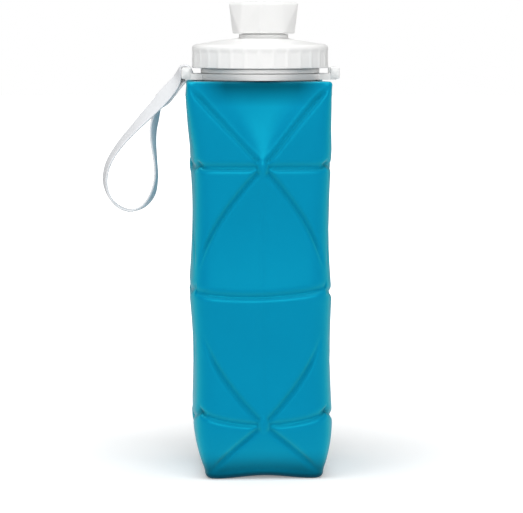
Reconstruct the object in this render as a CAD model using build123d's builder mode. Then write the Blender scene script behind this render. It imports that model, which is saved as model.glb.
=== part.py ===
"""Folding water bottle: a soft square bottle that collapses downwards, with a screw lid, a capped spout
and a wrist strap on a swivelling ring.

Millimetres, +Z up, origin at the centre of the base, front towards -Y. The strap hangs on the -X side.

The soft body folds like a bellows at its three horizontal creases. It is built as four rigid sections
that slide into one another, two narrow ones and two wide ones, so that the folded height is the real one.
"""
from build123d import *
from math import atan2, degrees
import os

# Heights of the body: the base, its three folding creases and the shoulder.
LOW_CREASE_Z = 30.0
MIDDLE_CREASE_Z = 90.0
HIGH_CREASE_Z = 152.0
SHOULDER_Z = 192.6

# The soft body.
BODY_WIDTH = 69.6
BASE_WIDTH = 54.0
WALL = 1.4
SLIDE_CLEARANCE = 0.25
TUCK = 2.0                 # how far a narrow section reaches inside its wide neighbour
CRISP_CORNER = 6.0         # corner radius where the corners stand out
SOFT_CORNER = 16.0         # corner radius where the corners draw in
BASE_CORNER = 8.0
BASE_RIM_WIDTH = 5.6       # width of the rim that the bottle stands on
FLOOR_Z = 3.4              # the floor is pushed up, so that the bottle stands on its corners
FLOOR_THICKNESS = 2.0
ARCH_RISE = 3.0            # how far the base's edge lifts between two corners
ARCH_SPAN = 38.0
CREASE_WIDTH = 1.8
CREASE_DEPTH = 0.5
BASE_CREASE_END = (23.0, 2.0)      # where a diagonal crease ends at the base, as (x, z)
SHOULDER_CHAMFER = 1.5
SHOULDER_PLATE = 2.0

NARROW_WIDTH = BODY_WIDTH - 2 * (WALL + SLIDE_CLEARANCE)
NARROW_CORNER = SOFT_CORNER - WALL - SLIDE_CLEARANCE
BORE_WIDTH = BODY_WIDTH - 2 * WALL
BORE_CORNER = SOFT_CORNER - WALL

# The threaded collar in the bottle's mouth.
MOUTH_RADIUS = 25.0
NECK_RADIUS = 27.2
BEAD_RADIUS = 29.0
BEAD_Z = 196.2
BEAD_HEIGHT = 2.0
COLLAR_ROOT_RADIUS = 27.8
COLLAR_TOP_Z = 207.1
COLLAR_EDGE_CHAMFER = 0.5
CLAMP_THICKNESS = 1.9
FIT_GAP = 0.05             # gap between pieces that are pressed together

# Screw threads: the ridge is a trapezoid, wider at its root.
LID_PITCH = 4.0
LID_RIDGE = (1.4, 1.7, 0.9)        # height, width at the root, width at the crest
LID_THREAD_Z = 200.5
LID_THREAD_TURNS = 1.25
LID_INNER_THREAD_TURNS = 1.0
SPOUT_PITCH = 3.0
SPOUT_RIDGE = (1.1, 1.3, 0.7)
SPOUT_THREAD_Z = 217.1
SPOUT_THREAD_TURNS = 1.75
THREAD_ROOT_BITE = 0.3     # how far a ridge is sunk into the wall that carries it

# The lid.
LID_RADIUS = 33.4
LID_BOTTOM_Z = 198.6
LID_RIM_Z = 209.1          # where the skirt turns into the dome
LID_EDGE_FILLET = 1.6
LID_BORE_RADIUS = 29.7
LID_CEILING_Z = 208.7
DOME_TOP_Z = 213.2
DOME_FLAT_RADIUS = 14.0
DOME_WALL = 2.2
DOME_INNER_RADIUS = 23.8
GRIP_COUNT = 30
GRIP_DEPTH = 0.45
GRIP_RIB_WIDTH = 1.6
CUT_MARGIN = 1.0           # how far a cut reaches past the face that it starts from
GASKET_INNER_RADIUS = 24.8
GASKET_OUTER_RADIUS = 29.2

# The drinking spout stands slightly off the lid's centre.
SPOUT_X = 1.7
SPOUT_FOOT_RADIUS = 12.0
SPOUT_FOOT_TOP_Z = 214.9
SPOUT_ROOT_RADIUS = 10.4
SPOUT_TOP_Z = 226.2
SPOUT_BORE_RADIUS = 8.4

# The spout cap: round below, eight-sided on top.
CAP_BOTTOM_Z = 215.2
CAP_TOP_Z = 230.5
CAP_CEILING_Z = 228.0
CAP_BORE_RADIUS = 11.9
CAP_BOTTOM_RADIUS = 14.7
CAP_TOP_RADIUS = 17.0
CAP_SIDES = 8
CAP_TURN = -7.0            # how far the eight sides are turned about the cap's axis when it is screwed down
CAP_ROUND_HALF_ANGLE = 16.0        # places two bottom points on either side of every second corner
CAP_EDGE_FILLET = 0.9
SEAL_RADIUS = 11.2

# The strap ring and its two ears.
RING_INNER_RADIUS = 27.6
RING_OUTER_RADIUS = 29.6
RING_Z = 192.9
RING_HEIGHT = 3.0
EAR_BAR_X = 36.7
EAR_BAR_Z = 196.6
EAR_BAR_SIZE = (3.4, 4.5)
EAR_BAR_CORNER = 1.6
EAR_HALF_LENGTH = 8.5
EAR_ARM_THICKNESS = 2.2
EAR_ARM_INNER_X = 26.5

# The wrist strap.
STRAP_WIDTH = 9.0
STRAP_THICKNESS = 1.2
STRAP_EYE_INNER_RADIUS = 2.45
STRAP_EYE_OUTER_RADIUS = 3.6
# Points on the loop, as (x, z): where the strands part, the outer strand, the low point, the inner strand.
STRAP_STEM_END = (-46.0, 184.6)
STRAP_OUTER_POINTS = ((-69.6, 160.6), (-76.3, 142.0))
STRAP_LOW_POINT = (-63.5, 128.6)
STRAP_INNER_POINTS = ((-52.6, 167.0), (-51.0, 145.0))
STRAP_FALL = (-0.75, -0.65)        # direction in which both strands leave the stem


def side_plane(side, distance, lean=0.0, pivot_z=0.0):
    """A plane on one of the four sides, its normal pointing out, leaning back by lean degrees at pivot_z."""
    turn = Rotation(0, 0, 90 * side)
    upright = Plane(origin=(0, -distance, pivot_z), x_dir=(1, 0, 0), z_dir=(0, -1, 0))
    leaning = upright.rotated((lean, 0, 0))
    return Plane(turn * leaning.location)


def engrave_creases(half_width, apex, corner, lean=0.0):
    """Cut the two diagonal creases of each side, from the apex height to corner, given as (x, z)."""
    for side in range(4):
        with BuildSketch(side_plane(side, half_width, lean, apex)) as creases:
            with BuildLine():
                for direction in (-1, 1):
                    Line((0, 0), (direction * corner[0], corner[1] - apex))
            trace(line_width=CREASE_WIDTH)
        extrude(creases.sketch, amount=-CREASE_DEPTH, mode=Mode.SUBTRACT)


def thread_ridge(radius, ridge, pitch, start_z, turns, outward=True, center_x=0.0):
    """Add a right-handed helical ridge that stands outward or inward from a cylindrical wall."""
    height, root_width, crest_width = ridge
    reach = 1 if outward else -1
    with BuildLine() as path:
        Helix(pitch=pitch, height=pitch * turns, radius=radius, center=(center_x, 0, start_z))
    start_plane = Plane(origin=path.line @ 0, x_dir=(1, 0, 0), z_dir=path.line % 0)
    with BuildSketch(start_plane) as profile:
        with BuildLine():
            Polyline(
                (-reach * THREAD_ROOT_BITE, -root_width / 2),
                (reach * height, -crest_width / 2),
                (reach * height, crest_width / 2),
                (-reach * THREAD_ROOT_BITE, root_width / 2),
                close=True,
            )
        make_face()
    sweep(profile.sketch, path=path.line, is_frenet=True)


# --- Body sections -----------------------------------------------------------------------------------

with BuildPart() as base_section:
    with BuildSketch():
        RectangleRounded(BASE_WIDTH, BASE_WIDTH, BASE_CORNER)
    with BuildSketch(Plane.XY.offset(LOW_CREASE_Z)):
        RectangleRounded(NARROW_WIDTH, NARROW_WIDTH, NARROW_CORNER)
    loft()
    with BuildSketch(Plane.XY.offset(LOW_CREASE_Z)):
        RectangleRounded(NARROW_WIDTH, NARROW_WIDTH, NARROW_CORNER)
    extrude(amount=TUCK)
    # The hollow that holds the water.
    with BuildSketch(Plane.XY.offset(FLOOR_Z + FLOOR_THICKNESS)):
        RectangleRounded(BASE_WIDTH - WALL, BASE_WIDTH - WALL, BASE_CORNER)
    with BuildSketch(Plane.XY.offset(LOW_CREASE_Z)):
        RectangleRounded(NARROW_WIDTH - 2 * WALL, NARROW_WIDTH - 2 * WALL, NARROW_CORNER - WALL)
    loft(mode=Mode.SUBTRACT)
    with BuildSketch(Plane.XY.offset(LOW_CREASE_Z)):
        RectangleRounded(NARROW_WIDTH - 2 * WALL, NARROW_WIDTH - 2 * WALL, NARROW_CORNER - WALL)
    extrude(amount=TUCK, mode=Mode.SUBTRACT)
    # The pushed-up floor, and the arches between the corners it stands on.
    floor_width = BASE_WIDTH - 2 * BASE_RIM_WIDTH
    with BuildSketch():
        RectangleRounded(floor_width, floor_width, BASE_CORNER - 2 * WALL)
    extrude(amount=FLOOR_Z, mode=Mode.SUBTRACT)
    for side in range(2):
        with BuildSketch(side_plane(side, 0)):
            with BuildLine():
                ThreePointArc((-ARCH_SPAN / 2, 0), (0, ARCH_RISE), (ARCH_SPAN / 2, 0))
                Line((-ARCH_SPAN / 2, 0), (ARCH_SPAN / 2, 0))
            make_face()
        extrude(amount=BASE_WIDTH, both=True, mode=Mode.SUBTRACT)
    base_lean = degrees(atan2((NARROW_WIDTH - BASE_WIDTH) / 2, LOW_CREASE_Z))
    engrave_creases(NARROW_WIDTH / 2, LOW_CREASE_Z, BASE_CREASE_END, base_lean)

with BuildPart() as lower_fold_section:
    with BuildSketch(Plane.XY.offset(LOW_CREASE_Z)):
        RectangleRounded(BODY_WIDTH, BODY_WIDTH, SOFT_CORNER)
    with BuildSketch(Plane.XY.offset(MIDDLE_CREASE_Z)):
        RectangleRounded(BODY_WIDTH, BODY_WIDTH, CRISP_CORNER)
    loft()
    with BuildSketch(Plane.XY.offset(LOW_CREASE_Z)):
        RectangleRounded(BORE_WIDTH, BORE_WIDTH, BORE_CORNER)
    extrude(amount=MIDDLE_CREASE_Z - LOW_CREASE_Z, mode=Mode.SUBTRACT)
    engrave_creases(BODY_WIDTH / 2, LOW_CREASE_Z, (BODY_WIDTH / 2 - CRISP_CORNER, MIDDLE_CREASE_Z))

with BuildPart() as upper_fold_section:
    with BuildSketch(Plane.XY.offset(MIDDLE_CREASE_Z - TUCK)):
        RectangleRounded(NARROW_WIDTH, NARROW_WIDTH, NARROW_CORNER)
        RectangleRounded(
            NARROW_WIDTH - 2 * WALL, NARROW_WIDTH - 2 * WALL, NARROW_CORNER - WALL, mode=Mode.SUBTRACT
        )
    extrude(amount=HIGH_CREASE_Z - MIDDLE_CREASE_Z + 2 * TUCK)
    engrave_creases(NARROW_WIDTH / 2, HIGH_CREASE_Z, (BODY_WIDTH / 2 - CRISP_CORNER, MIDDLE_CREASE_Z))

with BuildPart() as shoulder_section:
    with BuildSketch(Plane.XY.offset(HIGH_CREASE_Z)):
        RectangleRounded(BODY_WIDTH, BODY_WIDTH, SOFT_CORNER)
    with BuildSketch(Plane.XY.offset(SHOULDER_Z)):
        RectangleRounded(BODY_WIDTH, BODY_WIDTH, CRISP_CORNER)
    loft()
    chamfer(shoulder_section.faces().sort_by(Axis.Z)[-1].edges(), SHOULDER_CHAMFER)
    with BuildSketch(Plane.XY.offset(HIGH_CREASE_Z)):
        RectangleRounded(BORE_WIDTH, BORE_WIDTH, BORE_CORNER)
    extrude(amount=SHOULDER_Z - SHOULDER_PLATE - HIGH_CREASE_Z, mode=Mode.SUBTRACT)
    with BuildSketch(Plane.XY.offset(SHOULDER_Z - SHOULDER_PLATE)):
        Circle(NECK_RADIUS + FIT_GAP)
    extrude(amount=SHOULDER_PLATE, mode=Mode.SUBTRACT)
    engrave_creases(BODY_WIDTH / 2, HIGH_CREASE_Z, (BODY_WIDTH / 2 - CRISP_CORNER, SHOULDER_Z))

# --- Collar, ring and strap --------------------------------------------------------------------------

with BuildPart() as neck_collar:
    clamp_top_z = SHOULDER_Z - SHOULDER_PLATE - FIT_GAP
    bead_top_z = BEAD_Z + BEAD_HEIGHT
    with BuildSketch(Plane.XZ):
        with BuildLine():
            Polyline(
                (MOUTH_RADIUS, clamp_top_z - CLAMP_THICKNESS),
                (BEAD_RADIUS, clamp_top_z - CLAMP_THICKNESS),
                (BEAD_RADIUS, clamp_top_z),
                (NECK_RADIUS, clamp_top_z),
                (NECK_RADIUS, BEAD_Z),
                (BEAD_RADIUS, BEAD_Z),
                (BEAD_RADIUS, bead_top_z),
                (COLLAR_ROOT_RADIUS, bead_top_z),
                (COLLAR_ROOT_RADIUS, COLLAR_TOP_Z),
                (MOUTH_RADIUS, COLLAR_TOP_Z),
                close=True,
            )
        make_face()
    revolve(axis=Axis.Z)
    chamfer(neck_collar.edges().filter_by(GeomType.CIRCLE).group_by(Axis.Z)[-1], COLLAR_EDGE_CHAMFER)
    thread_ridge(COLLAR_ROOT_RADIUS, LID_RIDGE, LID_PITCH, LID_THREAD_Z, LID_THREAD_TURNS)

with BuildPart() as strap_ring:
    with BuildSketch(Plane.XY.offset(RING_Z)):
        Circle(RING_OUTER_RADIUS)
        for direction in (-1, 1):
            arm_length = EAR_BAR_X - EAR_ARM_INNER_X
            arm_x = direction * (EAR_ARM_INNER_X + arm_length / 2)
            arm_y = EAR_HALF_LENGTH - EAR_ARM_THICKNESS / 2
            with Locations((arm_x, -arm_y), (arm_x, arm_y)):
                Rectangle(arm_length, EAR_ARM_THICKNESS)
        Circle(RING_INNER_RADIUS, mode=Mode.SUBTRACT)
    extrude(amount=RING_HEIGHT)
    for direction in (-1, 1):
        with BuildSketch(Plane.XZ.offset(-EAR_HALF_LENGTH)):
            with Locations((direction * EAR_BAR_X, EAR_BAR_Z)):
                RectangleRounded(*EAR_BAR_SIZE, EAR_BAR_CORNER)
        extrude(amount=2 * EAR_HALF_LENGTH)

with BuildPart() as strap:
    eye = (-EAR_BAR_X, EAR_BAR_Z)
    with BuildSketch(Plane.XZ.offset(-STRAP_WIDTH / 2)):
        # The two strands, joined near the eye and spread into a drop-shaped loop below it.
        with BuildLine():
            Spline(STRAP_STEM_END, *STRAP_OUTER_POINTS, STRAP_LOW_POINT, tangents=(STRAP_FALL, (1, 0)))
        trace(line_width=STRAP_THICKNESS)
        with BuildLine():
            Spline(STRAP_STEM_END, *STRAP_INNER_POINTS, STRAP_LOW_POINT, tangents=(STRAP_FALL, (-1, 0)))
        trace(line_width=STRAP_THICKNESS)
        with BuildLine():
            Line(eye, STRAP_STEM_END)
        trace(line_width=2 * STRAP_THICKNESS)
        with Locations(eye):
            Circle(STRAP_EYE_OUTER_RADIUS)
            Circle(STRAP_EYE_INNER_RADIUS, mode=Mode.SUBTRACT)
    extrude(amount=STRAP_WIDTH)

# --- Lid and gasket ----------------------------------------------------------------------------------

with BuildPart() as lid:
    # The skirt and dome, as half a cross-section turned round the bottle's axis.
    with BuildSketch(Plane.XZ):
        with BuildLine():
            Polyline(
                (LID_BORE_RADIUS, LID_BOTTOM_Z),
                (LID_RADIUS, LID_BOTTOM_Z),
                (LID_RADIUS, LID_RIM_Z),
                (DOME_FLAT_RADIUS, DOME_TOP_Z),
                (0, DOME_TOP_Z),
                (0, DOME_TOP_Z - DOME_WALL),
                (DOME_FLAT_RADIUS, DOME_TOP_Z - DOME_WALL),
                (DOME_INNER_RADIUS, LID_CEILING_Z),
                (LID_BORE_RADIUS, LID_CEILING_Z),
                close=True,
            )
        make_face()
    revolve(axis=Axis.Z)
    outer_edges = lid.edges().filter_by(GeomType.CIRCLE).group_by(SortBy.RADIUS)[-1]
    fillet(outer_edges.sort_by(Axis.Z)[-1], LID_EDGE_FILLET)
    # Shallow flats between the grip ribs.
    with BuildSketch(Plane.XY.offset(LID_BOTTOM_Z)):
        Circle(LID_RADIUS + CUT_MARGIN)
        Circle(LID_RADIUS - GRIP_DEPTH, mode=Mode.SUBTRACT)
        with PolarLocations(LID_RADIUS, GRIP_COUNT):
            Rectangle(2 * (GRIP_DEPTH + CUT_MARGIN), GRIP_RIB_WIDTH, mode=Mode.SUBTRACT)
    extrude(amount=LID_RIM_Z - LID_BOTTOM_Z - LID_EDGE_FILLET, mode=Mode.SUBTRACT)
    # The drinking spout.
    with BuildSketch(Plane.XY.offset(DOME_TOP_Z - DOME_WALL)):
        with Locations((SPOUT_X, 0)):
            Circle(SPOUT_FOOT_RADIUS)
    extrude(amount=SPOUT_FOOT_TOP_Z - DOME_TOP_Z + DOME_WALL)
    with BuildSketch(Plane.XY.offset(SPOUT_FOOT_TOP_Z)):
        with Locations((SPOUT_X, 0)):
            Circle(SPOUT_ROOT_RADIUS)
    extrude(amount=SPOUT_TOP_Z - SPOUT_FOOT_TOP_Z)
    with BuildSketch(Plane.XY.offset(SPOUT_TOP_Z)):
        with Locations((SPOUT_X, 0)):
            Circle(SPOUT_BORE_RADIUS)
    extrude(amount=-(SPOUT_TOP_Z - LID_BOTTOM_Z), mode=Mode.SUBTRACT)
    thread_ridge(
        LID_BORE_RADIUS,
        LID_RIDGE,
        LID_PITCH,
        LID_THREAD_Z + LID_PITCH / 2,
        LID_INNER_THREAD_TURNS,
        outward=False,
    )
    thread_ridge(
        SPOUT_ROOT_RADIUS, SPOUT_RIDGE, SPOUT_PITCH, SPOUT_THREAD_Z, SPOUT_THREAD_TURNS, center_x=SPOUT_X
    )

with BuildPart() as lid_gasket:
    with BuildSketch(Plane.XY.offset(COLLAR_TOP_Z + FIT_GAP)):
        Circle(GASKET_OUTER_RADIUS)
        Circle(GASKET_INNER_RADIUS, mode=Mode.SUBTRACT)
    extrude(amount=LID_CEILING_Z - COLLAR_TOP_Z - 2 * FIT_GAP)

# --- Spout cap and its seal --------------------------------------------------------------------------

with BuildPart() as spout_cap:
    side_angle = 360 / CAP_SIDES
    cap_points = []
    for index in range(CAP_SIDES):
        corner_angle = CAP_TURN + index * side_angle
        cap_points.append(Vector(CAP_TOP_RADIUS, 0, CAP_TOP_Z).rotate(Axis.Z, corner_angle))
    for index in range(1, CAP_SIDES, 2):
        for step in (-CAP_ROUND_HALF_ANGLE, CAP_ROUND_HALF_ANGLE):
            corner_angle = CAP_TURN + index * side_angle + step
            cap_points.append(Vector(CAP_BOTTOM_RADIUS, 0, CAP_BOTTOM_Z).rotate(Axis.Z, corner_angle))
    with Locations((SPOUT_X, 0, 0)):
        ConvexPolyhedron([(point.X, point.Y, point.Z) for point in cap_points], align=None)
    fillet(spout_cap.faces().sort_by(Axis.Z)[-1].edges(), CAP_EDGE_FILLET)
    with BuildSketch(Plane.XY.offset(CAP_BOTTOM_Z)):
        with Locations((SPOUT_X, 0)):
            Circle(CAP_BORE_RADIUS)
    extrude(amount=CAP_CEILING_Z - CAP_BOTTOM_Z, mode=Mode.SUBTRACT)
    thread_ridge(
        CAP_BORE_RADIUS,
        SPOUT_RIDGE,
        SPOUT_PITCH,
        SPOUT_THREAD_Z + SPOUT_PITCH / 2,
        SPOUT_THREAD_TURNS,
        outward=False,
        center_x=SPOUT_X,
    )

with BuildPart() as spout_seal:
    with BuildSketch(Plane.XY.offset(SPOUT_TOP_Z + FIT_GAP)):
        with Locations((SPOUT_X, 0)):
            Circle(SEAL_RADIUS)
    extrude(amount=CAP_CEILING_Z - SPOUT_TOP_Z - 2 * FIT_GAP)

# --- Files -------------------------------------------------------------------------------------------

os.makedirs("parts", exist_ok=True)

base_section.part.label = "base_section"
lower_fold_section.part.label = "lower_fold_section"
upper_fold_section.part.label = "upper_fold_section"
shoulder_section.part.label = "shoulder_section"
neck_collar.part.label = "neck_collar"
strap_ring.part.label = "strap_ring"
strap.part.label = "strap"
lid.part.label = "lid"
lid_gasket.part.label = "lid_gasket"
spout_cap.part.label = "spout_cap"
spout_seal.part.label = "spout_seal"

export_step(base_section.part, "parts/base_section.step")
export_step(lower_fold_section.part, "parts/lower_fold_section.step")
export_step(upper_fold_section.part, "parts/upper_fold_section.step")
export_step(shoulder_section.part, "parts/shoulder_section.step")
export_step(neck_collar.part, "parts/neck_collar.step")
export_step(strap_ring.part, "parts/strap_ring.step")
export_step(strap.part, "parts/strap.step")
export_step(lid.part, "parts/lid.step")
export_step(lid_gasket.part, "parts/lid_gasket.step")
export_step(spout_cap.part, "parts/spout_cap.step")
export_step(spout_seal.part, "parts/spout_seal.step")
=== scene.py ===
import math

import bpy
import numpy as np
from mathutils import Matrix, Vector


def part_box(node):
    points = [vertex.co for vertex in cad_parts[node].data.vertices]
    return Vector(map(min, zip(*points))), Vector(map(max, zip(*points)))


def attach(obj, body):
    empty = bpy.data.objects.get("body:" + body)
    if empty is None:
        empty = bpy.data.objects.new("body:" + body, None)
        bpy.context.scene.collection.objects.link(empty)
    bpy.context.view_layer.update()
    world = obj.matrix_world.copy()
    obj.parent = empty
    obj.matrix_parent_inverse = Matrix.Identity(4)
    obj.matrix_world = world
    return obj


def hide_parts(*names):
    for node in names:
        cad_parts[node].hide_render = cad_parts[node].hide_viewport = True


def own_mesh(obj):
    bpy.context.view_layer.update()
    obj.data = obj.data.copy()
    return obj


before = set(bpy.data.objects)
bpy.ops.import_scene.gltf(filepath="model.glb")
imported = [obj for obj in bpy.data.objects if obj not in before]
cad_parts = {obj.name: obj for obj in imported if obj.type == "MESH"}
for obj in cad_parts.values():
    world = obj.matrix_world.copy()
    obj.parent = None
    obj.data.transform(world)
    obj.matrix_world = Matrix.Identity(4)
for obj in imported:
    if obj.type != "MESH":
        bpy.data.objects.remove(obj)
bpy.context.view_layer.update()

MM = 0.001


def cad_box(node):
    """(lowest corner, highest corner) of a CAD node, in millimetres."""
    low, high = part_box(node)
    return low / MM, high / MM


SHOULDER_LOW, SHOULDER_HIGH = cad_box("shoulder_section")
SHOULDER_TOP = SHOULDER_HIGH.z
FOLD_LOW, FOLD_HIGH = cad_box("lower_fold_section")
LID_LOW, LID_HIGH = cad_box("lid")
CAP_LOW, CAP_HIGH = cad_box("spout_cap")
SEAL_TOP = cad_box("spout_seal")[1].z
GASKET_TOP = cad_box("lid_gasket")[1].z
RING_LOW, RING_HIGH = cad_box("strap_ring")
STRAP_LOW, STRAP_HIGH = cad_box("strap")

# --- Small helpers -----------------------------------------------------------------------------------


def smoothstep(start, end, value):
    """0 at start, 1 at end, with an even slope at both."""
    share = np.clip((np.asarray(value, float) - start) / (end - start), 0.0, 1.0)
    return share * share * (3.0 - 2.0 * share)


def mix(a, b, share):
    return a + (b - a) * share


def at(flat, height):
    """Points from their x and y, all at one height."""
    return np.column_stack([flat, np.full(len(flat), height)])


def signed_volume(points, faces):
    """Volume enclosed by the faces, positive when they are wound outwards."""
    total = 0.0
    for face in faces:
        anchor = points[face[0]]
        for second, third in zip(face[1:-1], face[2:]):
            total += np.dot(anchor, np.cross(points[second], points[third]))
    return total / 6.0


def grid_mesh(name, rows, join_ends=False, start_pole=None, end_pole=None):
    """A closed mesh from rows of points; each row runs round the object and closes on itself."""
    rows = np.asarray(rows, float)
    row_count, column_count = rows.shape[:2]
    points = rows.reshape(-1, 3)
    faces = []
    last = row_count if join_ends else row_count - 1
    for row in range(last):
        here = row * column_count
        there = ((row + 1) % row_count) * column_count
        for column in range(column_count):
            after = (column + 1) % column_count
            faces.append((here + column, here + after, there + after, there + column))
    for pole, row in ((start_pole, 0), (end_pole, row_count - 1)):
        if pole is None:
            continue
        centre = len(points)
        points = np.vstack([points, pole])
        for column in range(column_count):
            after = (column + 1) % column_count
            edge = (row * column_count + column, row * column_count + after)
            faces.append((centre, *reversed(edge)) if row == 0 else (centre, *edge))
    if signed_volume(points, faces) < 0:
        faces = [tuple(reversed(face)) for face in faces]
    mesh = bpy.data.meshes.new(name)
    mesh.from_pydata((points * MM).tolist(), [], faces)
    mesh.shade_smooth()
    made = bpy.data.objects.new(name, mesh)
    bpy.context.scene.collection.objects.link(made)
    return made


def rounded_outline(corners, step, closed):
    """Points along a polyline of (values..., rounding) corners, each corner turned into an arc.

    The first two values are the radius and the height; further values are carried along.
    """
    values = [np.array(corner[:-1], float) for corner in corners]
    rounding = [corner[-1] for corner in corners]
    count = len(corners)
    outline = []
    for index in range(count):
        here = values[index]
        if not closed and index in (0, count - 1):
            outline.append([here])
            continue
        before = values[index - 1] - here
        after = values[(index + 1) % count] - here
        before_length = np.linalg.norm(before[:2])
        after_length = np.linalg.norm(after[:2])
        cosine = np.dot(before[:2], after[:2]) / (before_length * after_length)
        half_angle = math.acos(max(-1.0, min(1.0, cosine))) / 2
        reach = rounding[index] / max(math.tan(half_angle), 1e-6)
        reach = min(reach, 0.45 * before_length, 0.45 * after_length)
        start = here + before * reach / before_length
        end = here + after * reach / after_length
        arc = []
        for share in np.linspace(0, 1, 6):
            arc.append((1 - share) ** 2 * start + 2 * share * (1 - share) * here + share ** 2 * end)
        outline.append(arc)
    points = []
    for index, arc in enumerate(outline):
        points.extend(arc)
        if index == count - 1 and not closed:
            break
        start = arc[-1]
        end = outline[(index + 1) % count][0]
        pieces = int(np.linalg.norm((end - start)[:2]) / step)
        for piece in range(1, pieces):
            points.append(mix(start, end, piece / pieces))
    return np.array(points)


def thread(angle, height, start, pitch, turns, ridge):
    """How far a right-handed helical ridge stands out of its wall at an angle and a height."""
    along = (height - start) / pitch - angle / (2 * math.pi)
    nearest = np.round(along)
    climbed = nearest + angle / (2 * math.pi)
    offset = np.abs(height - start - pitch * climbed)
    section = 1 - smoothstep(0.35 * ridge, 0.95 * ridge, offset)
    ends = smoothstep(0.0, 0.12, climbed) * (1 - smoothstep(turns - 0.12, turns, climbed))
    return ridge * section * ends


# --- Materials ---------------------------------------------------------------------------------------


class Nodes:
    """Builds the node tree of one material or world from short calls."""

    def __init__(self, owner):
        self.owner = owner
        owner.use_nodes = True
        self.tree = owner.node_tree
        self.tree.nodes.clear()
        coordinates = self.add("ShaderNodeTexCoord")
        self.place = coordinates.outputs["Object"]
        # For a piece, 0 to 1 along each side of its box. For the world, the direction looked in.
        self.generated = coordinates.outputs["Generated"]

    def add(self, kind, inputs=None, **settings):
        node = self.tree.nodes.new(kind)
        for name, value in settings.items():
            setattr(node, name, value)
        for name, value in (inputs or {}).items():
            if isinstance(value, bpy.types.NodeSocket):
                self.tree.links.new(value, node.inputs[name])
            else:
                node.inputs[name].default_value = value
        return node

    def noise(self, size_mm, detail=2.0, roughness=0.5):
        """Noise whose features are about size_mm across."""
        inputs = {"Vector": self.place, "Scale": 1.0 / (size_mm * MM)}
        inputs |= {"Detail": detail, "Roughness": roughness}
        return self.add("ShaderNodeTexNoise", inputs).outputs["Fac"]

    def math(self, operation, first, second):
        inputs = {0: first, 1: second}
        return self.add("ShaderNodeMath", inputs, operation=operation).outputs[0]

    def ramp(self, value, low, high, from_low=0.0, from_high=1.0):
        """From low to high as value goes from from_low to from_high, and held at low or high beyond."""
        inputs = {"Value": value, "From Min": from_low, "From Max": from_high}
        inputs |= {"To Min": low, "To Max": high}
        return self.add("ShaderNodeMapRange", inputs).outputs["Result"]

    def blend_colours(self, share, first, second):
        node = self.add("ShaderNodeMix", {0: share, 6: first, 7: second}, data_type="RGBA")
        return node.outputs[2]

    def bump(self, height, distance_mm, strength, normal=None):
        inputs = {"Height": height, "Distance": distance_mm * MM, "Strength": strength}
        if normal is not None:
            inputs["Normal"] = normal
        return self.add("ShaderNodeBump", inputs).outputs["Normal"]

    def finish(self, inputs):
        shader = self.add("ShaderNodeBsdfPrincipled", inputs)
        self.add("ShaderNodeOutputMaterial", {"Surface": shader.outputs["BSDF"]})
        return self.owner


def material_nodes(name):
    return Nodes(bpy.data.materials.new(name))


def edge_wear(nodes):
    """1 on sharp outward edges, 0 elsewhere, from how pointed the surface is."""
    pointed = nodes.add("ShaderNodeNewGeometry").outputs["Pointiness"]
    return nodes.ramp(pointed, 0.0, 1.0, 0.52, 0.60)


SILICONE_DEEP = (0.0, 0.190, 0.385, 1.0)
SILICONE_PALE = (0.0, 0.212, 0.415, 1.0)
# Painted sheen: the lighter, greener colour that the silicone turns to at grazing rims.
SILICONE_PAINTED_SHEEN = (0.0, 0.360, 0.480, 1.0)
# Painted shade: the dark colour that the silicone turns to in creases and under the ring.
SILICONE_PAINTED_SHADE = (0.0, 0.050, 0.090, 1.0)
PAINTED_SHADE_REACH = 15.0                # painted shade: a surface this close to another one counts as part of a shaded crevice
PAINTED_SHADE_OPENNESS = (0.42, 0.95)     # the painted shade is darkest at the first share of open air, and gone at the second
RING_SHADE_DEPTH = (12.0, 2.5)      # the painted shade under the ring ends this far down, and is full this far down
RING_SHADE_RADIUS = (36.0, 46.0)    # full painted shade inside the first radius, none outside the second
# the share of the silicone's own colour left at full painted shade
RING_SHADE_LEAST = 0.15


def outside_painted_ring_shade(nodes):
    """Low on the skin just under the overhanging ring and lid, where a shade is painted into the colour
    because they keep the light off it; 1 elsewhere.

    The height is taken as a share of the skin's box, so the shade stays under the ring as the body folds.
    """
    share = nodes.add("ShaderNodeSeparateXYZ", {"Vector": nodes.generated}).outputs["Z"]
    end, full = (1 - depth / SHOULDER_TOP for depth in RING_SHADE_DEPTH)
    level = nodes.ramp(share, 0.0, 1.0, end, full)
    place = nodes.add("ShaderNodeSeparateXYZ", {"Vector": nodes.place})
    along = nodes.math("POWER", place.outputs["X"], 2.0)
    across = nodes.math("POWER", place.outputs["Y"], 2.0)
    radius = nodes.math("SQRT", nodes.math("ADD", along, across), 0.0)
    overhung = nodes.ramp(radius, 1.0, 0.0, RING_SHADE_RADIUS[0] * MM, RING_SHADE_RADIUS[1] * MM)
    shade = nodes.math("MULTIPLY", level, overhung)
    return nodes.ramp(shade, 1.0, RING_SHADE_LEAST)


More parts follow.
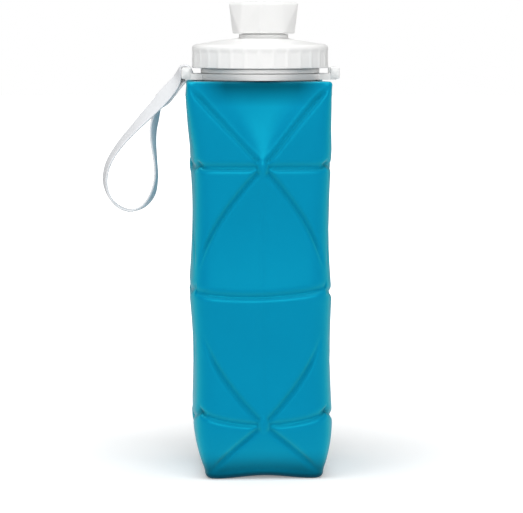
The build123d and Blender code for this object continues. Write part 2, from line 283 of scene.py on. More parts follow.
def silicone_material():
    """Matte teal silicone: cloudy colour, a fine moulded grain, a painted lighter and greener sheen at the
    rims, and painted shade in creases and under the ring.
    """
    nodes = material_nodes("teal_silicone")
    clouds = nodes.noise(26.0, detail=3.0)
    colour = nodes.blend_colours(clouds, SILICONE_DEEP, SILICONE_PALE)
    # Painted sheen: the colour turns lighter and greener at the rims, where the surface is seen edge-on.
    facing = nodes.add("ShaderNodeLayerWeight", {"Blend": 0.5}).outputs["Facing"]
    rim = nodes.ramp(facing, 0.0, 0.9, 0.02, 0.45)
    colour = nodes.blend_colours(rim, colour, SILICONE_PAINTED_SHEEN)
    worn = nodes.math("MULTIPLY", edge_wear(nodes), 0.25)
    colour = nodes.blend_colours(worn, colour, SILICONE_PALE)
    # Painted shade: the colour darkens and the reflection weakens where little open air is seen, in creases
    # and under the ring.
    occlusion = nodes.add("ShaderNodeAmbientOcclusion", {"Distance": PAINTED_SHADE_REACH * MM}, samples=8)
    unshaded = nodes.ramp(occlusion.outputs["AO"], 0.0, 1.0, *PAINTED_SHADE_OPENNESS)
    unshaded = nodes.math("MULTIPLY", unshaded, outside_painted_ring_shade(nodes))
    colour = nodes.blend_colours(unshaded, SILICONE_PAINTED_SHADE, colour)
    patches = nodes.noise(9.0, detail=4.0)
    grain = nodes.noise(0.35, detail=2.0)
    normal = nodes.bump(patches, 0.12, 0.25)
    normal = nodes.bump(grain, 0.02, 0.35, normal)
    return nodes.finish({
        "Base Color": colour,
        "Roughness": nodes.ramp(patches, 0.34, 0.44),
        "IOR": 1.6,
        # The reflection weakens with the painted shade.
        "Specular IOR Level": nodes.ramp(unshaded, 0.15, 1.0),
        "Specular Tint": (0.02, 0.90, 1.0, 1.0),
        "Sheen Weight": 0.05,
        "Sheen Roughness": 0.5,
        "Sheen Tint": (0.0, 0.60, 0.75, 1.0),
        "Normal": normal,
    })


def plastic_material(name, colour, shade, roughness, grain_mm, rounding_mm=0.0):
    """Satin moulded plastic: faint flow clouds, a spark-eroded grain, polish along worn edges."""
    nodes = material_nodes(name)
    clouds = nodes.noise(18.0, detail=3.0)
    tint = nodes.blend_colours(clouds, (*shade, 1.0), (*colour, 1.0))
    worn = edge_wear(nodes)
    tint = nodes.blend_colours(nodes.math("MULTIPLY", worn, 0.4), tint, (*colour, 1.0))
    grain = nodes.noise(grain_mm, detail=2.0)
    scuffs = nodes.noise(6.0, detail=5.0, roughness=0.6)
    matte = nodes.ramp(scuffs, roughness - 0.06, roughness + 0.08)
    matte = nodes.math("SUBTRACT", matte, nodes.math("MULTIPLY", worn, 0.10))
    rounded = None
    if rounding_mm:
        rounded = nodes.add("ShaderNodeBevel", {"Radius": rounding_mm * MM}, samples=4).outputs["Normal"]
    return nodes.finish({
        "Base Color": tint,
        "Roughness": matte,
        "Specular IOR Level": 0.35,
        "Normal": nodes.bump(grain, 0.012, 0.3, rounded),
    })


def seal_material():
    """Milky, slightly see-through silicone for the gasket and the spout's seal."""
    nodes = material_nodes("milky_silicone")
    clouds = nodes.noise(5.0, detail=3.0)
    tint = nodes.blend_colours(clouds, (0.70, 0.73, 0.74, 1.0), (0.80, 0.82, 0.82, 1.0))
    return nodes.finish({
        "Base Color": tint,
        "Roughness": nodes.ramp(clouds, 0.35, 0.5),
        "Transmission Weight": 0.15,
        "Normal": nodes.bump(nodes.noise(0.4), 0.02, 0.3),
    })


# --- Soft body ---------------------------------------------------------------------------------------

# Each level is (height, half width at the middle of a side, half width at the corner, corner softness).
HALF_WIDTH = SHOULDER_HIGH.x
LEVELS = (
    (SHOULDER_TOP, HALF_WIDTH - 4.5, HALF_WIDTH + 0.3, 1.9),
    (SHOULDER_LOW.z, HALF_WIDTH - 0.5, HALF_WIDTH - 2.1, 5.0),
    (FOLD_HIGH.z, HALF_WIDTH - 0.6, HALF_WIDTH + 0.1, 8.0),
    (FOLD_LOW.z, HALF_WIDTH - 0.9, HALF_WIDTH - 0.7, 8.0),
    (0.0, 26.9, 27.8, 4.0),
)
# Each band between two levels is (level with the cross at mid-side, level with the cross at the corner,
# how strongly its diagonal creases curve, where along a diagonal its groove starts and ends fading).
BANDS = (
    (1, 0, 1.0, 0.80, 0.97),
    (1, 2, 1.85, 0.55, 0.82),
    (3, 2, 1.80, 0.42, 0.74),
    (3, 4, 1.0, 0.62, 0.90),
)
PANEL_SINK = {1: 1.8, 2: 1.3}       # how far each long band's panels draw in between two level creases
SINK_AT_CORNER = 0.65               # and the share of it at the corners
CRISP_SOFTNESS = 1.3                # how softly the surface bends away from the corners
ROW_SOFTNESS = 1.5                  # and from one height to the next
SIDE_COLUMNS = 92
BODY_ROW_STEP = 0.8
# The soft body doesn't stand quite straight: (height, how far its middle is off towards +X).
LEAN = (
    (0.0, 1.1), (12.0, 0.8), (30.0, 0.35), (60.0, -0.05), (90.0, -0.6), (112.0, -0.65),
    (132.0, -0.3), (150.0, -0.05), (160.0, -0.2), (170.0, -1.1), (184.0, -1.8), (193.0, -1.5),
)
EDGE_ROUND = 1.8                # at the shoulder
FOOT_ROUND = 3.2
FOOT_ARCH = 1.3                 # how far the foot's edge rises between two corners
FOOT_RIM = 5.6                  # how far in from the side the floor starts to rise
FLOOR_Z = 3.4                   # underside of the pushed-up floor
WALL = 1.6
INNER_FLOOR = 26.0              # how far in from the wall the inner floor's rows start
MOUTH_RADIUS = 27.3
PLATE = 2.0                     # thickness of the floor and the shoulder plate
FOOT_BAND = 3                   # the lowest band, which draws in to the foot
FOOT_EASE = 1.9                 # above 1, the foot band stays wide before it draws in
TOP_HOLLOW = 0.9                # how far the top facets hollow out towards the neck
TOP_SCOOP, PANEL_SCOOP = 2.1, 1.5       # how flat a panel stays before it rises to its creases
LEVEL_GROOVE = (1.25, 1.6)      # depth and half width of the level creases
SLANT_GROOVE = (1.20, 1.3)      # the same for the diagonal creases
LENS = (2.6, 4.0)               # half width and half height of the raised lens where creases cross
LENS_RIDGE = (0.35, 1.3)        # height and half width of the lens's crest
MOULD_LINE = (0.12, 0.8)        # height and half width of the faint line up the middle of a long panel
# Each level crease is level: (how far below its level it is at mid-side, how far it rises to the corners,
# how much further at the side's right end, how far it kicks up at a corner, its depth there as a share).
LEVEL_CREASES = {1: (0.0, 0.0, 0.0, 1.2, 1.9), 2: (0.0, 3.6, 1.0, 0.0, 0.75), 3: (2.3, 6.6, 0.0, 0.0, 1.9)}
CROSS_LEVELS = (1, 3)           # where the diagonal creases cross


def crease_height(level):
    """Height of a level crease at mid-side."""
    return LEVELS[level][0] - LEVEL_CREASES[level][0]


def crease_reach(band, share):
    """How far from mid-side (0) to corner (1) the diagonal crease is, at a share of the band's height."""
    return 1 - (1 - share) ** BANDS[band][2]


def band_of(height):
    """(band, share of the way from its mid-side cross level to its corner cross level)."""
    for band in range(len(BANDS)):
        top, bottom = LEVELS[band][0], LEVELS[band + 1][0]
        if height >= bottom or band == len(BANDS) - 1:
            origin = LEVELS[BANDS[band][0]][0]
            share = abs(height - origin) / (top - bottom)
            return band, min(1.0, max(0.0, share))


def side_row(height, across):
    """(x, distance from the axis) of one side at a height, for across from -1 to 1, before rounding."""
    band, share = band_of(height)
    _, cross_mid, cross_corner, _ = LEVELS[BANDS[band][0]]
    _, far_mid, far_corner, _ = LEVELS[BANDS[band][1]]
    eased = share ** FOOT_EASE if band == FOOT_BAND else share
    corner = mix(cross_corner, far_corner, eased)
    middle = mix(cross_mid, far_mid, eased)
    reach = max(1e-4, crease_reach(band, share))
    on_crease = mix(middle, corner, reach) if band == FOOT_BAND else mix(cross_mid, far_corner, reach)
    scoop = PANEL_SCOOP
    if band == 0:
        scoop = TOP_SCOOP
        middle = middle - TOP_HOLLOW * math.sin(math.pi * share)
    away = np.abs(across)
    inside = mix(middle, on_crease, (np.minimum(away, reach) / reach) ** scoop)
    outside = mix(on_crease, corner, np.clip((away - reach) / max(1e-4, 1 - reach), 0, 1))
    distance = np.where(away < reach, inside, outside)
    if band in (1, 2):
        sink = PANEL_SINK[band] * math.sin(math.pi * share)
        distance = distance - sink * mix(1, SINK_AT_CORNER, away ** 4)
        corner = corner - sink * SINK_AT_CORNER
    return across * corner, distance


# Where the columns of one side are, from -1 at its left corner to 1 at its right.
ACROSS = np.arange(SIDE_COLUMNS) / SIDE_COLUMNS * 2 - 1


def loop_row(height):
    """The four sides' points at a height, still with sharp corners."""
    x, distance = side_row(height, ACROSS)
    loop = []
    for side in range(4):
        turn = side * math.pi / 2
        front_x, front_y = math.cos(turn), math.sin(turn)
        loop.append(np.stack([x * front_x + distance * front_y, x * front_y - distance * front_x], axis=1))
    return np.concatenate(loop)


def soften(rows, sigma):
    """Each row smoothed along its loop by sigma columns, one value per row."""
    count = rows.shape[1]
    waves = np.fft.rfft(rows, axis=1)
    turns = np.arange(waves.shape[1])[None, :, None]
    damp = np.exp(-0.5 * (turns * np.asarray(sigma)[:, None, None] * 2 * math.pi / count) ** 2)
    return np.fft.irfft(waves * damp, n=count, axis=1)


def smooth_heights(rows, sigma):
    """The rows smoothed from one row to the next, ends held."""
    span = int(3 * sigma)
    weights = np.exp(-0.5 * (np.arange(-span, span + 1) / sigma) ** 2)
    weights = weights / weights.sum()
    padded = np.concatenate([np.repeat(rows[:1], span, 0), rows, np.repeat(rows[-1:], span, 0)])
    smooth = np.zeros_like(rows)
    for index, weight in enumerate(weights):
        smooth += weight * padded[index:index + len(rows)]
    return smooth


def level_crease_depth(height, across):
    """How deep the level creases are cut at a height."""
    away = np.abs(across)
    depth = np.zeros_like(away)
    for level, (_, rise, tilt, kick, corner_share) in LEVEL_CREASES.items():
        crease = crease_height(level) + rise * away ** 2 + tilt * across
        crease = crease + kick * smoothstep(0.85, 1.0, away)
        strength = mix(1, corner_share, smoothstep(0.80, 1.0, away))
        gap = (height - crease) / LEVEL_GROOVE[1]
        depth = np.maximum(depth, LEVEL_GROOVE[0] * strength * np.exp(-gap ** 2))
    return depth


def slant_crease_depth(height, across):
    """How deep the diagonal creases are cut at a height."""
    away = np.abs(across)
    depth = np.zeros_like(away)
    for band, (cross, corner, _, fade_start, fade_end) in enumerate(BANDS):
        cross_z, corner_z = crease_height(cross), LEVELS[corner][0]
        share = (height - cross_z) / (corner_z - cross_z)
        if not -0.05 <= share <= 1:
            continue
        share = max(0.0, share)
        reach = crease_reach(band, share)
        slope = (crease_reach(band, min(1, share + 0.01)) - reach) / 0.01
        slope = slope * HALF_WIDTH / abs(corner_z - cross_z)
        gap = (away - reach) * HALF_WIDTH / math.sqrt(1 + slope ** 2) / SLANT_GROOVE[1]
        strength = 1 - smoothstep(fade_start, fade_end, share)
        depth = np.maximum(depth, SLANT_GROOVE[0] * strength * np.exp(-gap ** 2))
    return depth


def groove_depth(height, across):
    """How deep the skin is cut at a height, for across from -1 to 1 on one side."""
    depth = np.maximum(level_crease_depth(height, across), slant_crease_depth(height, across))
    from_middle = across * HALF_WIDTH
    # The creases stop at a raised lens where they cross.
    for level in CROSS_LEVELS:
        oval = np.hypot(from_middle / LENS[0], (height - crease_height(level)) / LENS[1])
        crest = LENS_RIDGE[0] * np.exp(-(from_middle / LENS_RIDGE[1]) ** 2)
        depth = depth * smoothstep(0.75, 1.3, oval) - crest * (1 - smoothstep(0.5, 1.25, oval))
    # The mould line is raised, and fades towards the two crosses.
    mould_line = MOULD_LINE[0] * np.exp(-(from_middle / MOULD_LINE[1]) ** 2)
    between = smoothstep(0, 12, height - FOLD_LOW.z) * smoothstep(0, 12, SHOULDER_LOW.z - height)
    return depth - mould_line * between


def outward(rows):
    """Unit normals of the rows of points, pointing away from the axis."""
    along = np.roll(rows, -1, axis=1) - np.roll(rows, 1, axis=1)
    up = np.gradient(rows, axis=0)
    normal = np.cross(along, up)
    normal /= np.maximum(np.linalg.norm(normal, axis=2, keepdims=True), 1e-9)
    facing = np.sign(np.sum(normal[:, :, :2] * rows[:, :, :2], axis=2, keepdims=True))
    return normal * np.where(facing == 0, 1, facing)


def body_side():
    """Rows of the outer surface from just under the shoulder's edge down to just above the foot's edge."""
    top = SHOULDER_TOP - EDGE_ROUND
    count = int((top - FOOT_ROUND) / BODY_ROW_STEP)
    heights = np.linspace(top, FOOT_ROUND, count)
    flat = np.array([loop_row(height) for height in heights])
    level_heights = [level[0] for level in reversed(LEVELS)]
    softness = np.interp(heights, level_heights, [level[3] for level in reversed(LEVELS)])
    spacing = 2 * HALF_WIDTH / SIDE_COLUMNS
    crisp = soften(flat, np.full(count, CRISP_SOFTNESS / spacing))
    soft = soften(flat, softness / spacing)
    # The corners are softer than the rest.
    near_corner = smoothstep(0.25, 0.80, np.abs(np.tile(ACROSS, 4)))[None, :, None]
    flat = mix(crisp, soft, near_corner)
    rows = np.concatenate([flat, np.broadcast_to(heights[:, None, None], (*flat.shape[:2], 1))], axis=2)
    rows = smooth_heights(rows, ROW_SOFTNESS / BODY_ROW_STEP)
    rows[:, :, 2] = heights[:, None]
    depth = np.array([np.tile(groove_depth(height, ACROSS), 4) for height in heights])
    return rows - outward(rows) * depth[:, :, None]


def inset(row, distance, height):
    """A row drawn in towards the axis by distance, at a height."""
    radius = np.linalg.norm(row[:, :2], axis=1, keepdims=True)
    return at(row[:, :2] * (1 - distance / radius), height)


def inner_rows(side, mouth):
    """Inner floor, inner wall and the underside of the shoulder plate, up to the mouth's edge."""
    floor_top = FLOOR_Z + PLATE
    under_plate = SHOULDER_TOP - PLATE
    inner_foot = inset(side[-1], WALL + 1.0, floor_top)
    rows = [inset(inner_foot, INNER_FLOOR * part, floor_top) for part in (0.75, 0.4, 0.1)]
    for row in side[::-1][2::6]:
        if floor_top + 2 < row[0, 2] < under_plate - 2.5:
            rows.append(inset(row, WALL, row[0, 2]))
    wall_top = inset(side[0], WALL, 0)[:, :2]
    rows.extend(at(mix(wall_top, mouth, share), under_plate) for share in (0.05, 0.5, 1.0))
    rows.append(at(mouth, SHOULDER_TOP - PLATE / 2))
    rows.append(at(mouth, SHOULDER_TOP - 0.2))
    return rows


def shoulder_rows(side, mouth):
    """The shoulder plate from the mouth outwards, and its rounded edge."""
    edge = side[0][:, :2] * (1 - EDGE_ROUND / HALF_WIDTH)
    rows = [at(mix(mouth, edge, share), SHOULDER_TOP) for share in (0.05, 0.35, 0.7, 0.95)]
    for turn in np.radians(np.linspace(75, 15, 5)):
        height = SHOULDER_TOP - EDGE_ROUND + EDGE_ROUND * math.sin(turn)
        rows.append(inset(side[0], EDGE_ROUND * (1 - math.cos(turn)), height))
    return rows


def foot_rows(side):
    """The rounded foot, the rim it stands on and the pushed-up floor."""
    foot = side[-1]
    rows = []
    for turn in np.radians(np.linspace(15, 90, 6)):
        rows.append(inset(foot, FOOT_ROUND * (1 - math.cos(turn)), FOOT_ROUND * (1 - math.sin(turn))))
    rows.append(inset(foot, FOOT_RIM, 0.0))
    rows.append(inset(foot, FOOT_RIM + 0.6, 0.6))
    rows.append(inset(foot, FOOT_RIM + 1.4, FLOOR_Z - 0.5))
    rows.extend(inset(foot, FOOT_RIM + distance, FLOOR_Z) for distance in (2.4, 9.0, 16.0))
    return rows


def arch_foot(rows):
    """Raises the foot's edge between its corners."""
    arch = FOOT_ARCH * (1 - smoothstep(0.0, 0.85, np.abs(np.tile(ACROSS, 4))))
    low = 1 - smoothstep(2.0, 24.0, rows[:, :, 2])
    outer = np.linalg.norm(rows[:, :, :2], axis=2) > HALF_WIDTH * 0.5
    rows[:, :, 2] += arch[None, :] * low * outer


def lean(rows):
    """Moves the soft skin sideways by LEAN, but not the mouth that the collar holds."""
    heights, offsets = zip(*LEAN)
    below_neck = 1 - smoothstep(SHOULDER_TOP - 12, SHOULDER_TOP, rows[:, :, 2])
    from_axis = np.linalg.norm(rows[:, :, :2], axis=2)
    loose = np.maximum(below_neck, smoothstep(MOUTH_RADIUS + 0.5, HALF_WIDTH - 2, from_axis))
    rows[:, :, 0] += np.interp(rows[:, :, 2], heights, offsets) * loose


def soft_body():
    """One closed skin: outside, shoulder plate, foot, floor and inner wall."""
    side = body_side()
    count = side.shape[1]
    angles = math.atan2(-1, -1) + np.arange(count) / count * 2 * math.pi
    mouth = np.column_stack([np.cos(angles), np.sin(angles)]) * MOUTH_RADIUS
    rows = np.array([*inner_rows(side, mouth), *shoulder_rows(side, mouth), *side, *foot_rows(side)])
    arch_foot(rows)
    lean(rows)
    foot_x = LEAN[0][1]
    return grid_mesh(
        "folding_body", rows,
        start_pole=np.array([foot_x, 0, FLOOR_Z + PLATE]), end_pole=np.array([foot_x, 0, FLOOR_Z]),
    )


# --- Lid ---------------------------------------------------------------------------------------------

GRIP_COUNT = 30
GRIP_DEPTH = 0.42
GRIP_RIB = 1.5              # width of the rib between two flats
GRIP_TURN = -3.0            # degrees from the front to the nearest rib
GRIP_COLUMNS = 12
LID_RIM_Z = 209.5
DOME_PEAK, DOME_BEND = 213.3, 0.0036
SPOUT_X = (CAP_LOW.x + CAP_HIGH.x) / 2
SPOUT_FOOT = (12.0, 214.9)
SPOUT_WALL = (8.4, 10.4)
LID_BORE = 29.7
# Each thread is (where it starts, pitch, turns, how far it stands out).
LID_THREAD = (202.5, 4.0, 1.0, 1.3)
SPOUT_THREAD = (217.1, 3.0, 1.75, 1.1)
CAP_THREAD = (218.6, 3.0, 1.75, 1.0)


def grip_relief(angle):
    """How far the skirt is cut back from its full radius, at an angle from +X."""
    pitch = 2 * math.pi / GRIP_COUNT
    phase = (angle + math.pi / 2 - math.radians(GRIP_TURN)) / pitch
    from_rib = np.abs(phase - np.round(phase)) * pitch * LID_HIGH.x
    flat = (pitch * LID_HIGH.x / 2 - from_rib) / LID_HIGH.x
    chord = LID_HIGH.x * (1 / np.cos(flat) - 1)
    return (GRIP_DEPTH - chord) * smoothstep(0.25 * GRIP_RIB, 0.62 * GRIP_RIB, from_rib)


def lid_outline():
    """The lid's closed section as (radius, height, centre x) points."""
    radius, bottom = LID_HIGH.x, LID_LOW.z
    dome_top = SPOUT_FOOT[1] - 1.9
    ceiling = GASKET_TOP + 0.05
    corners = [(radius, bottom, 0, 0.5), (radius - 0.15, LID_RIM_Z + 0.3, 0, 2.4)]
    for dome_radius in (27.5, 22.0, 17.0):
        corners.append((dome_radius, DOME_PEAK - DOME_BEND * dome_radius ** 2, 0, 6.0))
    corners += [
        (SPOUT_FOOT[0], dome_top, SPOUT_X, 0.8),
        (SPOUT_FOOT[0], SPOUT_FOOT[1], SPOUT_X, 0.35),
        (SPOUT_WALL[1], SPOUT_FOOT[1], SPOUT_X, 0.35),
        (SPOUT_WALL[1], LID_HIGH.z, SPOUT_X, 0.6),
        (SPOUT_WALL[0], LID_HIGH.z, SPOUT_X, 0.6),
        (SPOUT_WALL[0], dome_top - 2.2, SPOUT_X, 0.5),
        (24.0, ceiling, 0, 0.8),
        (LID_BORE, ceiling, 0, 0.4),
        (LID_BORE, bottom, 0, 0.4),
    ]
    return rounded_outline(corners, 0.55, closed=True)


def ribbed_lid():
    """Ribbed skirt, domed top and threaded spout in one closed moulding."""
    outline = lid_outline()
    count = GRIP_COUNT * GRIP_COLUMNS
    angles = np.arange(count) / count * 2 * math.pi
    relief = grip_relief(angles)
    rows = []
    for radius, height, centre in outline:
        r = np.full(count, radius)
        on_skirt = radius > LID_BORE + 1.5 and height < LID_RIM_Z + 0.3
        if on_skirt:
            fade = 1 - smoothstep(LID_RIM_Z - 3.6, LID_RIM_Z - 1.6, height)
            r = r - relief * fade
        if abs(radius - SPOUT_WALL[1]) < 0.02 and height > SPOUT_FOOT[1]:
            r = r + thread(angles, height, *SPOUT_THREAD)
        if abs(radius - LID_BORE) < 0.02:
            r = r - thread(angles, height, *LID_THREAD)
        flat = np.column_stack([r * np.cos(angles) + centre, r * np.sin(angles)])
        rows.append(at(flat, height))
    return grid_mesh("ribbed_lid", rows, join_ends=True)


# --- Spout cap ---------------------------------------------------------------------------------------

CAP_SIDES = 8
CAP_TURN = -7.0             # degrees that the top's corners are turned from +X
CAP_TOP_RADIUS = 17.0
CAP_BOTTOM_RADIUS = 15.1    # the bottom is round
CAP_FAN = 6                 # flat strips that make up each face below a top corner
CAP_BORE = 11.9
CAP_EDGE_SHARPNESS = 120.0  # higher makes the edges between faces sharper
CAP_TOP_ROUND = 1.5
CAP_BOTTOM_ROUND = 0.7
CAP_SWELL = 0.25            # makes up for what blending the faces takes off


def cap_planes():
    """(normal, distance) of the cap's slanting faces, about the cap's own axis."""
    bottom, top = CAP_LOW.z, CAP_HIGH.z
    step = 2 * math.pi / CAP_SIDES

    def ring_point(index, radius, height):
        angle = math.radians(CAP_TURN) - math.pi / 2 + index * step
        return np.array([radius * math.cos(angle), radius * math.sin(angle), height])

    planes = []
    for index in range(0, CAP_SIDES, 2):
        peak = ring_point(index, CAP_TOP_RADIUS, top)
        turns = np.linspace(-1, 1, CAP_FAN + 1)
        fan = [ring_point(index + turn, CAP_BOTTOM_RADIUS, bottom) for turn in turns]
        triangles = [(peak, first, second) for first, second in zip(fan, fan[1:])]
        triangles.append((peak, ring_point(index - 1, CAP_TOP_RADIUS, top), fan[0]))
        triangles.append((peak, ring_point(index + 1, CAP_TOP_RADIUS, top), fan[-1]))
        for corners in triangles:
            normal = np.cross(corners[1] - corners[0], corners[2] - corners[0])
            normal /= np.linalg.norm(normal)
            if np.dot(normal[:2], corners[0][:2]) < 0:
                normal = -normal
            planes.append((normal, np.dot(normal, corners[0])))
    return planes


def faceted_cap():
    """Eight-sided above and nearly round below, with rounded edges and a threaded bore."""
    count = 288
    angles = np.arange(count) / count * 2 * math.pi
    bottom, top, ceiling = CAP_LOW.z, CAP_HIGH.z, SEAL_TOP + 0.05
    planes = cap_planes()

    def outer_radius(height):
        total = np.zeros(count)
        for normal, distance in planes:
            slope = normal[0] * np.cos(angles) + normal[1] * np.sin(angles)
            reach = (distance - normal[2] * height) / np.maximum(slope, 1e-3)
            total += np.where(slope > 0.2, reach, 1e3) ** -CAP_EDGE_SHARPNESS
        return total ** (-1 / CAP_EDGE_SHARPNESS) + CAP_SWELL

    def ring(radius, height):
        flat = np.column_stack([radius * np.cos(angles) + SPOUT_X, radius * np.sin(angles)])
        return at(flat, height)

    rows = []
    for share in (0.3, 0.6, 0.85, 0.97):
        rows.append(ring((outer_radius(top) - CAP_TOP_ROUND) * share, top - 0.12 * share ** 2))
    for turn in np.linspace(90, 0, 8):
        height = top - CAP_TOP_ROUND + CAP_TOP_ROUND * math.sin(math.radians(turn))
        inward = CAP_TOP_ROUND * (1 - math.cos(math.radians(turn)))
        rows.append(ring(outer_radius(height) - inward, height - 0.12))
    for height in np.linspace(top - CAP_TOP_ROUND - 0.5, bottom + CAP_BOTTOM_ROUND + 0.3, 26):
        rows.append(ring(outer_radius(height), height))
    for turn in np.linspace(10, 90, 5):
        height = bottom + CAP_BOTTOM_ROUND * (1 - math.sin(math.radians(turn)))
        inward = CAP_BOTTOM_ROUND * (1 - math.cos(math.radians(turn)))
        rows.append(ring(outer_radius(height) - inward, height))
    rows.append(ring(np.full(count, CAP_BORE + 0.4), bottom))
    rows.append(ring(np.full(count, CAP_BORE + 0.1), bottom + 0.12))
    for height in np.linspace(bottom + 0.5, ceiling - 0.4, 36):
        ridge = thread(angles, height, *CAP_THREAD)
        rows.append(ring(CAP_BORE - ridge, height))
    rows.append(ring(np.full(count, CAP_BORE - 0.3), ceiling))
    rows.append(ring(np.full(count, CAP_BORE * 0.5), ceiling))
    return grid_mesh(
        "faceted_cap", rows,
        start_pole=np.array([SPOUT_X, 0, top]), end_pole=np.array([SPOUT_X, 0, ceiling]),
    )


# --- Strap -------------------------------------------------------------------------------------------

EAR_X = RING_LOW.x + 1.7
EAR_Z = RING_HIGH.z - 2.25
EAR_INNER = 33.9            # the plates stop just clear of the lid's skirt
EAR_HALF_DEPTH = 8.65
EAR_COVER = 0.12            # the plates stand this far outside the ring that they cover
STRAP_WIDTH = STRAP_HIGH.y - STRAP_LOW.y
STRAP_THICKNESS = 1.3
STRAP_ROWS = 420
WRAP_RADIUS = 3.0
# Points on the loop as (x, z, twist in degrees, y): down the outer strand, round, and up the inner one.
STRAP_PATH = (
    (-41.2, 192.0, 30, 0),
    (-46.4, 185.4, 44, 0),
    (-53.0, 178.2, 36, 0),
    (-61.3, 169.5, 24, 0),
    (-69.4, 160.2, 16, 0),
    (-74.6, 151.4, 14, 0),
    (-76.1, 142.8, 11, 0),
    (-74.0, 135.6, 5, 0),
    (-69.6, 130.8, 2, 0),
    (-63.8, 128.8, 2, 0),
    (-57.6, 130.8, 10, 0),
    (-53.1, 136.4, 15, 0),
    (-51.2, 144.4, 8, 0),
    (-51.4, 152.4, 6, 0),
    (-52.3, 161.4, 13, 0),
    (-52.4, 168.0, 19, 0.4),
    (-51.4, 173.4, 20, 1.0),
    (-49.6, 178.0, 6, 1.6),
    (-46.2, 183.2, -32, 1.4),
    (-41.2, 189.6, -30, 0.8),
)


def closed_spline(points, count):
    """Evenly spaced points on a smooth closed curve through the given ones."""
    points = np.asarray(points, float)
    size = len(points)
    dense = []
    for index in range(size):
        p0, p1, p2, p3 = (points[(index + offset) % size] for offset in (-1, 0, 1, 2))
        for share in np.linspace(0, 1, 24, endpoint=False):
            dense.append(
                0.5 * (2 * p1 + (p2 - p0) * share + (2 * p0 - 5 * p1 + 4 * p2 - p3) * share ** 2
                       + (3 * p1 - p0 - 3 * p2 + p3) * share ** 3)
            )
    dense = np.array(dense)
    dense = np.vstack([dense, dense[:1]])
    lengths = np.concatenate([[0], np.cumsum(np.linalg.norm(np.diff(dense[:, :2], axis=0), axis=1))])
    wanted = np.linspace(0, lengths[-1], count, endpoint=False)
    return np.column_stack([np.interp(wanted, lengths, dense[:, axis]) for axis in range(dense.shape[1])])


def strap_section():
    """The band's section as (across, through): a rounded bar, thinner at its two edges."""
    section = []
    for angle in np.linspace(0, 2 * math.pi, 20, endpoint=False):
        across = math.copysign(abs(math.cos(angle)) ** 0.35, math.cos(angle)) * STRAP_WIDTH / 2
        through = math.copysign(abs(math.sin(angle)) ** 0.6, math.sin(angle)) * STRAP_THICKNESS / 2
        section.append((across, through))
    return section


def wrist_strap():
    """A flat soft band wrapped round the ear's bar and twisting along its loop."""
    wrap = []
    for turn in (-30, 15, 60, 100, 140):
        angle = math.radians(turn)
        wrap.append((EAR_X + WRAP_RADIUS * math.cos(angle), EAR_Z + WRAP_RADIUS * math.sin(angle), 0, 0))
    path = closed_spline((*wrap, *STRAP_PATH), STRAP_ROWS)
    flat = path[:, :2]
    ahead = np.roll(flat, -1, axis=0) - np.roll(flat, 1, axis=0)
    ahead /= np.linalg.norm(ahead, axis=1, keepdims=True)
    outside = np.column_stack([-ahead[:, 1], np.zeros(len(path)), ahead[:, 0]])
    middle = flat.mean(axis=0)
    centre = np.column_stack([path[:, 0], path[:, 3], path[:, 1]])
    away = centre - np.array([middle[0], 0, middle[1]])
    if np.sum(outside * away) < 0:
        outside = -outside
    twist = np.radians(path[:, 2])[:, None]
    sideways = np.array([[0, 1, 0]])
    across = np.cos(twist) * sideways + np.sin(twist) * outside
    thick = np.cos(twist) * outside - np.sin(twist) * sideways
    section = strap_section()
    rows = []
    for index in range(len(path)):
        rows.append([centre[index] + u * across[index] + v * thick[index] for u, v in section])
    return grid_mesh("wrist_band", rows, join_ends=True)


def ear_cheek(name, side, front):
    """One solid side plate of a strap ear, with rounded corners and softened edges."""
    inner, outer = EAR_INNER, RING_HIGH.x + EAR_COVER
    low, high = RING_LOW.z + 0.4, RING_HIGH.z + EAR_COVER
    corners = [(inner, low, 0.6), (outer, low, 1.2), (outer, high, 1.5), (inner, high, 0.8)]
    outline = rounded_outline(corners, 0.5, closed=True)
    middle = outline.mean(axis=0)
    rows = []
    for depth, shrink in ((0.0, 0.93), (0.12, 0.975), (0.4, 1.0), (1.8, 1.0), (2.08, 0.975), (2.2, 0.93)):
        y = front * (EAR_HALF_DEPTH - depth)
        flat = middle + (outline - middle) * shrink
        rows.append(np.column_stack([side * flat[:, 0], np.full(len(flat), y), flat[:, 1]]))
    ends = [np.array([side * middle[0], rows[index][0, 1], middle[1]]) for index in (0, -1)]
    return grid_mesh(name, rows, start_pole=ends[0], end_pole=ends[1])


# --- Assembly ----------------------------------------------------------------------------------------

WHITE = (0.90, 0.90, 0.89)
WHITE_SHADE = (0.87, 0.87, 0.865)
STRAP_WHITE = (0.78, 0.79, 0.81)
STRAP_SHADE = (0.73, 0.745, 0.765)


def place(piece, material, body, slot, *replaced):
    """Gives a piece its material, fixes it to a body, and hides the CAD nodes it stands for. The slot is
    not used.
    """
    piece.data.materials.append(material)
    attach(piece, body)
    if replaced:
        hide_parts(*replaced)


def fold_with_body(piece):
    """Gives the skin its own copy of its mesh data."""
    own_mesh(piece)


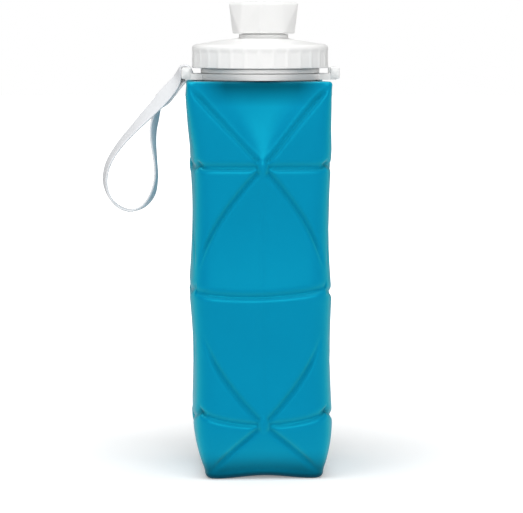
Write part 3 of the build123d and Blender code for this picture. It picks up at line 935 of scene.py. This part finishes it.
def assemble():
    body = soft_body()
    place(
        body, silicone_material(), "base", "soft_silicone",
        "base_section", "lower_fold_section", "upper_fold_section", "shoulder_section",
    )
    fold_with_body(body)
    white = plastic_material("white_moulding", WHITE, WHITE_SHADE, 0.42, 0.25)
    band = plastic_material("strap_band", STRAP_WHITE, STRAP_SHADE, 0.5, 0.4)
    place(ribbed_lid(), white, "lid", "white_plastic", "lid")
    place(faceted_cap(), white, "cap", "white_plastic", "spout_cap")
    place(wrist_strap(), band, "wrist_strap", "strap_band", "strap")
    for side, side_name in ((-1, "left"), (1, "right")):
        for front, depth_name in ((-1, "front"), (1, "back")):
            cheek = ear_cheek(f"ear_{side_name}_{depth_name}", side, front)
            place(cheek, white, "ring", "white_plastic")
    # These CAD nodes stay as they are, and only get a material.
    white_ring = plastic_material("white_ring", WHITE, WHITE_SHADE, 0.42, 0.25, rounding_mm=0.35)
    milky = seal_material()
    kept = {"neck_collar": white_ring, "strap_ring": white_ring, "lid_gasket": milky, "spout_seal": milky}
    for node, material in kept.items():
        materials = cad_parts[node].data.materials
        materials.clear()
        materials.append(material)


# --- Stage, light and camera -------------------------------------------------------------------------


WORLD_FRONT, WORLD_SIDE = 0.20, 0.95        # light from ahead and behind, and from the left and right
KEY_POWER = 5.4
SOFTBOX_POWER = 6.2
LIGHT_SIZE = (0.7, 0.4)
FLOOR_REACH = 6.0
FLOOR_GLOW = 0.20                           # light that the floor sends up at the bottle


def floor():
    """A plain pale floor, bright enough that only contact shadows show."""
    mesh = bpy.data.meshes.new("floor")
    corners = [(x * FLOOR_REACH, y * FLOOR_REACH, 0) for x, y in ((-1, -1), (1, -1), (1, 1), (-1, 1))]
    mesh.from_pydata(corners, [], [(0, 1, 2, 3)])
    made = bpy.data.objects.new("floor", mesh)
    bpy.context.scene.collection.objects.link(made)
    nodes = material_nodes("pale_floor")
    tone = nodes.blend_colours(nodes.noise(60.0), (0.89, 0.89, 0.89, 1), (0.91, 0.91, 0.91, 1))
    matte = nodes.add("ShaderNodeBsdfDiffuse", {"Color": tone})
    # Away from the bottle the floor brightens into the white surroundings.
    far = nodes.add("ShaderNodeVectorMath", {0: nodes.place}, operation="LENGTH").outputs["Value"]
    lift = nodes.ramp(far, 0.25, 1.15, 0.05, 0.50)
    glow = nodes.add("ShaderNodeEmission", {"Strength": lift})
    seen_floor = nodes.add("ShaderNodeAddShader", {0: matte.outputs[0], 1: glow.outputs[0]})
    spread = nodes.add("ShaderNodeBsdfDiffuse", {"Color": (0.80, 0.80, 0.80, 1)})
    backlight = nodes.add("ShaderNodeEmission", {"Strength": FLOOR_GLOW})
    bounce = nodes.add("ShaderNodeAddShader", {0: spread.outputs[0], 1: backlight.outputs[0]})
    seen = nodes.add("ShaderNodeLightPath").outputs["Is Camera Ray"]
    both = nodes.add("ShaderNodeMixShader", {0: seen, 1: bounce.outputs[0], 2: seen_floor.outputs[0]})
    nodes.add("ShaderNodeOutputMaterial", {"Surface": both.outputs[0]})
    mesh.materials.append(nodes.owner)


def area_light(name, location, aim, power):
    data = bpy.data.lights.new(name, "AREA")
    data.shape = "RECTANGLE"
    data.size, data.size_y = LIGHT_SIZE
    data.energy = power
    made = bpy.data.objects.new(name, data)
    made.location = location
    made.rotation_euler = (Vector(aim) - Vector(location)).to_track_quat("-Z", "Y").to_euler()
    bpy.context.scene.collection.objects.link(made)


def studio():
    """White surroundings that light the bottle mostly from its sides, and two soft area lights."""
    world = bpy.data.worlds.new("studio")
    bpy.context.scene.world = world
    nodes = Nodes(world)
    sideways = nodes.add("ShaderNodeSeparateXYZ", {"Vector": nodes.generated}).outputs["X"]
    strength = nodes.ramp(nodes.math("MULTIPLY", sideways, sideways), WORLD_FRONT, WORLD_SIDE)
    light = nodes.add("ShaderNodeBackground", {"Strength": strength})
    white = nodes.add("ShaderNodeBackground", {"Strength": 1.0, "Color": (1, 1, 1, 1)})
    seen = nodes.add("ShaderNodeLightPath").outputs["Is Camera Ray"]
    both = nodes.add("ShaderNodeMixShader", {0: seen, 1: light.outputs[0], 2: white.outputs[0]})
    nodes.add("ShaderNodeOutputWorld", {"Surface": both.outputs[0]})
    area_light("key_above", (-0.05, -0.26, 0.95), (0, 0, 0.15), KEY_POWER)
    area_light("front_softbox", (0.0, -1.45, 0.60), (0, 0, 0.16), SOFTBOX_POWER)


def camera():
    """A long lens slightly to the left of the front, a little below the cap's top."""
    distance, eye_height = 0.980, 0.215
    azimuth, pitch, shift = math.radians(-2.4), math.radians(6.364), 0.0007
    data = bpy.data.cameras.new("camera")
    data.sensor_width = 36.0
    data.lens = 137.3231
    made = bpy.data.objects.new("camera", data)
    made.location = (distance * math.sin(azimuth) + shift, -distance * math.cos(azimuth), eye_height)
    made.rotation_euler = (math.pi / 2 - pitch, 0, azimuth)
    bpy.context.scene.collection.objects.link(made)
    bpy.context.scene.camera = made


assemble()
floor()
studio()
camera()
bpy.context.scene.view_settings.view_transform = "Standard"
bpy.context.scene.view_settings.look = "None"
